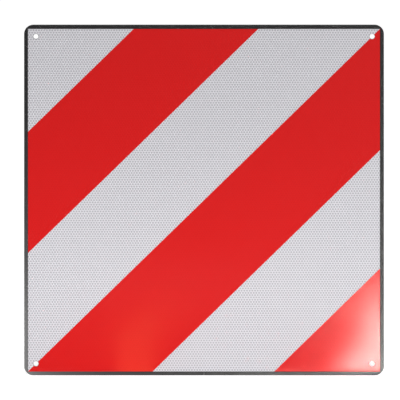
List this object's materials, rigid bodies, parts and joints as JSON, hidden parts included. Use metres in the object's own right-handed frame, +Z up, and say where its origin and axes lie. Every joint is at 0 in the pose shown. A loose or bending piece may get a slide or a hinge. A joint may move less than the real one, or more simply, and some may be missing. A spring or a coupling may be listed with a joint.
{
  "type": "overhanging load sign",
  "caption": "Flat square plate with red and white diagonal reflective stripes, a black channel round its edge and a fixing hole at each corner, hung on a load that overhangs a vehicle.",
  "frame": {"origin": "middle of the four corner holes, on the back of the metal plate", "axes": "+X to the right of someone facing the stripes, +Y out of the back of the plate, +Z up; the striped face looks along -Y"},
  "size_m": [0.5, 0.0039, 0.5],
  "materials": {
    "bare_aluminium": "mill finish with fine rolling grain",
    "adhesive": "milky pressure-sensitive film",
    "white_sheeting": "pale reflective sheeting with honeycomb cells",
    "red_film": "transparent red over honeycomb reflective sheeting",
    "black_trim": "satin black extruded plastic"
  },
  "bodies": {
    "root": {"backing_panel": "bare_aluminium", "adhesive_film": "adhesive", "reflective_sheeting": "white_sheeting", "red_band_upper": "red_film", "red_band_lower": "red_film", "red_corner": "red_film", "edge_trim": "black_trim"}
  },
  "joints": []
}
